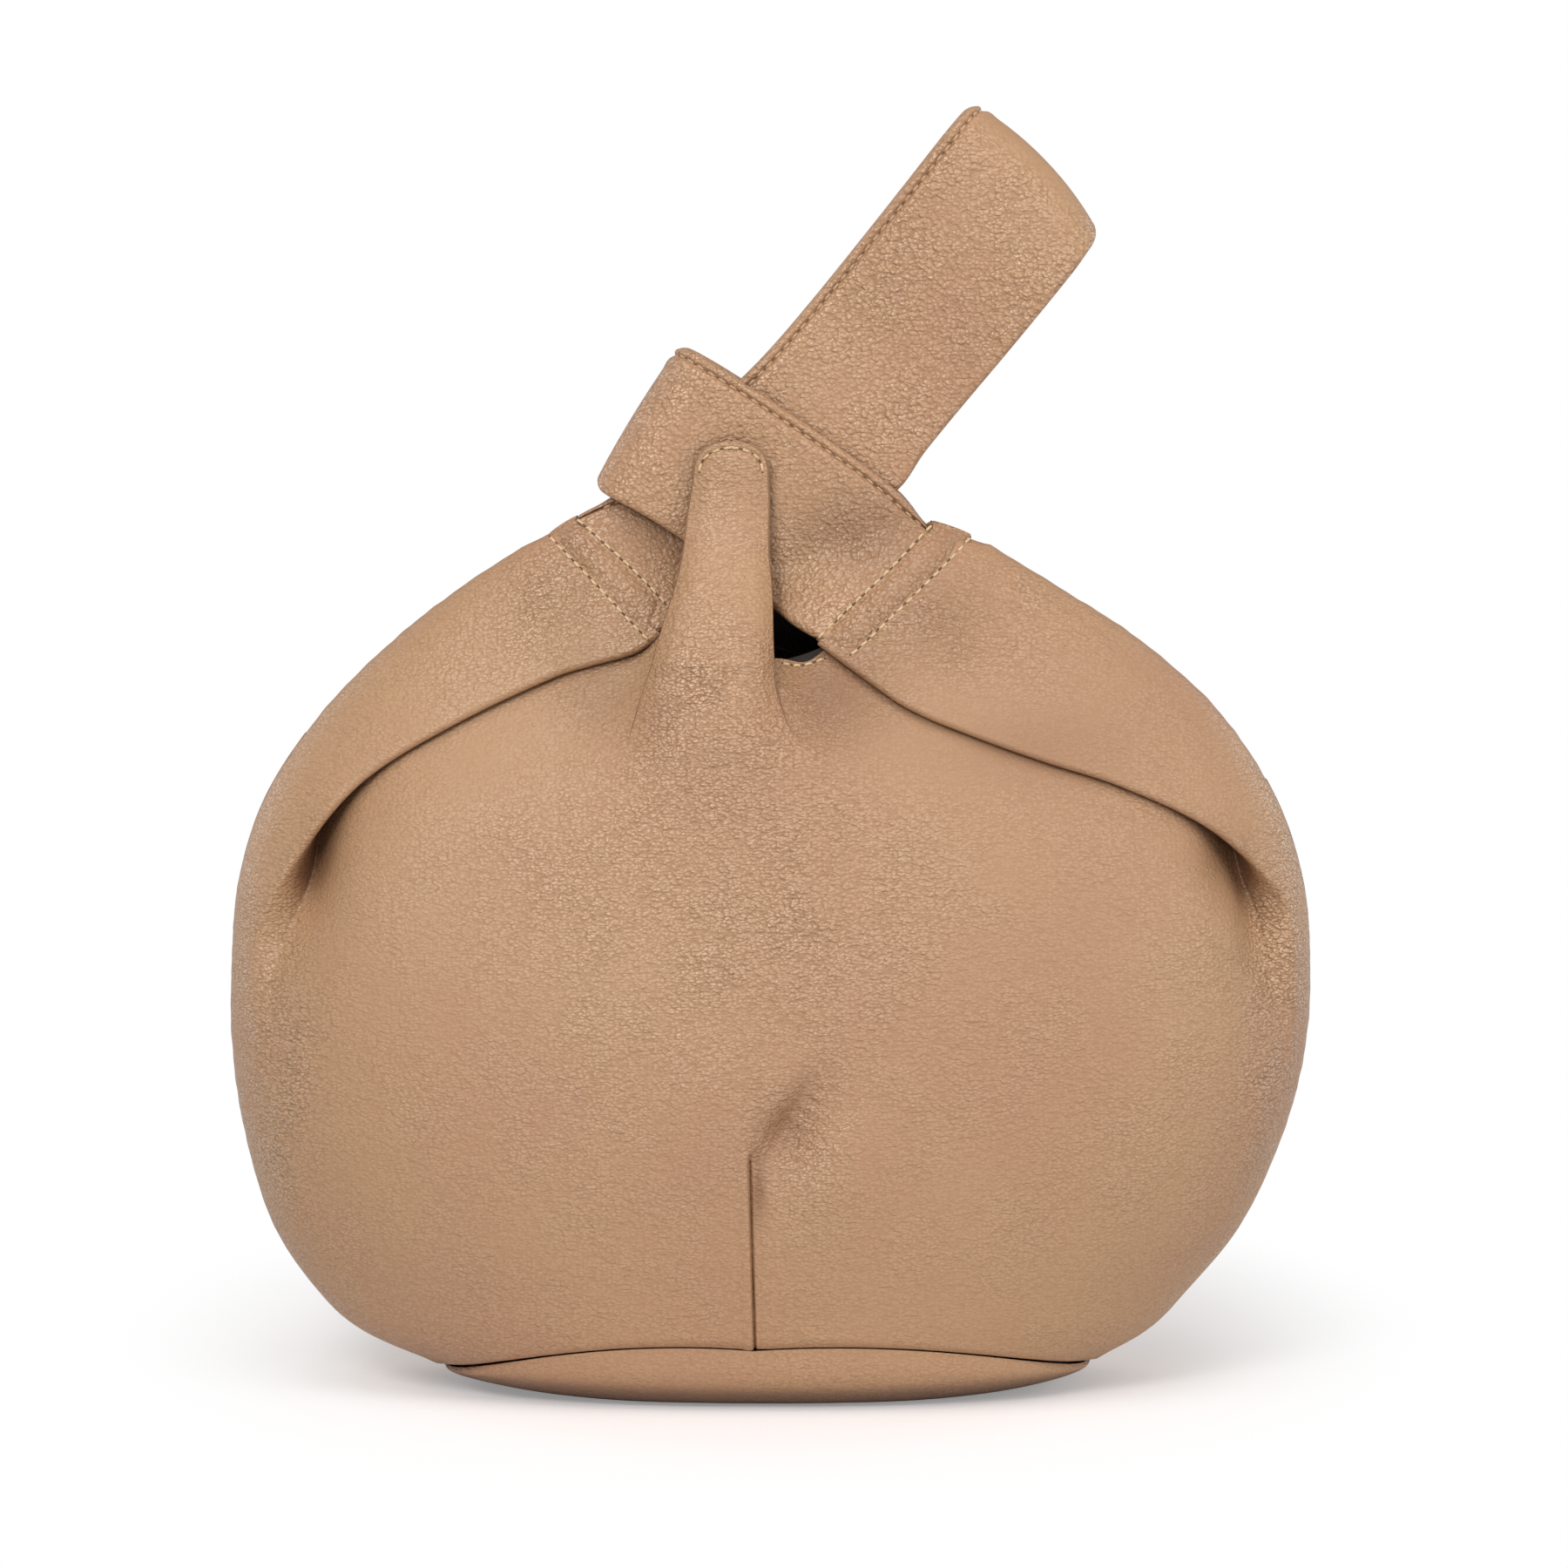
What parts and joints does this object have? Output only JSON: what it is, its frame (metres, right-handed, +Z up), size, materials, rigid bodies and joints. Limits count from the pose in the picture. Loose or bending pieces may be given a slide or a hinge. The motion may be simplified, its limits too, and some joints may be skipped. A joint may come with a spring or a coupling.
{
  "type": "knot bag",
  "caption": "Soft leather wrist bag whose long handle loop passes through a short loop, closed by a snap tongue over the crossing.",
  "frame": {"origin": "centre of the flat underside of the base, on the surface the bag stands on", "axes": "+Z up, -Y out of the front panel with the tongue, +X towards the shoulder that carries the short loop"},
  "size_m": [0.2902, 0.1142, 0.3446],
  "materials": {
    "tan_leather": "pebbled, semi matt",
    "inside_leather": "smooth, matt",
    "black_lining": "woven, matt",
    "board": "matt",
    "snap_metal": "antique, satin"
  },
  "bodies": {
    "bag": {"front_panel": "tan_leather", "front_lining": "black_lining", "front_neck_facing": "black_lining", "back_panel": "tan_leather", "back_lining": "black_lining", "back_neck_facing": "black_lining", "slip_pocket": "black_lining", "base_panel": "tan_leather", "base_lining": "black_lining", "base_board": "board", "long_handle_front": "tan_leather", "long_handle_front_lining": "inside_leather", "long_handle_back": "tan_leather", "long_handle_back_lining": "inside_leather", "short_handle": "tan_leather", "short_handle_lining": "inside_leather", "snap_socket": "snap_metal"},
    "closure_tab": {"closure_tongue": "tan_leather", "tongue_backing": "inside_leather", "snap_stud": "snap_metal"},
    "carry_loop": {"long_handle_loop": "tan_leather", "long_handle_loop_lining": "inside_leather"}
  },
  "joints": [
    {"name": "tab_hinge", "type": "hinge", "parent": "bag", "child": "closure_tab", "pos_m": [-0.0145, -0.036, 0.1989], "axis": [1, 0, 0], "range_deg": [0, 75]},
    {"name": "loop_swing", "type": "hinge", "parent": "bag", "child": "carry_loop", "pos_m": [0.0231, 0, 0.26833], "axis": [0.7565, 0, -0.654], "range_deg": [-70, 70]}
  ]
}
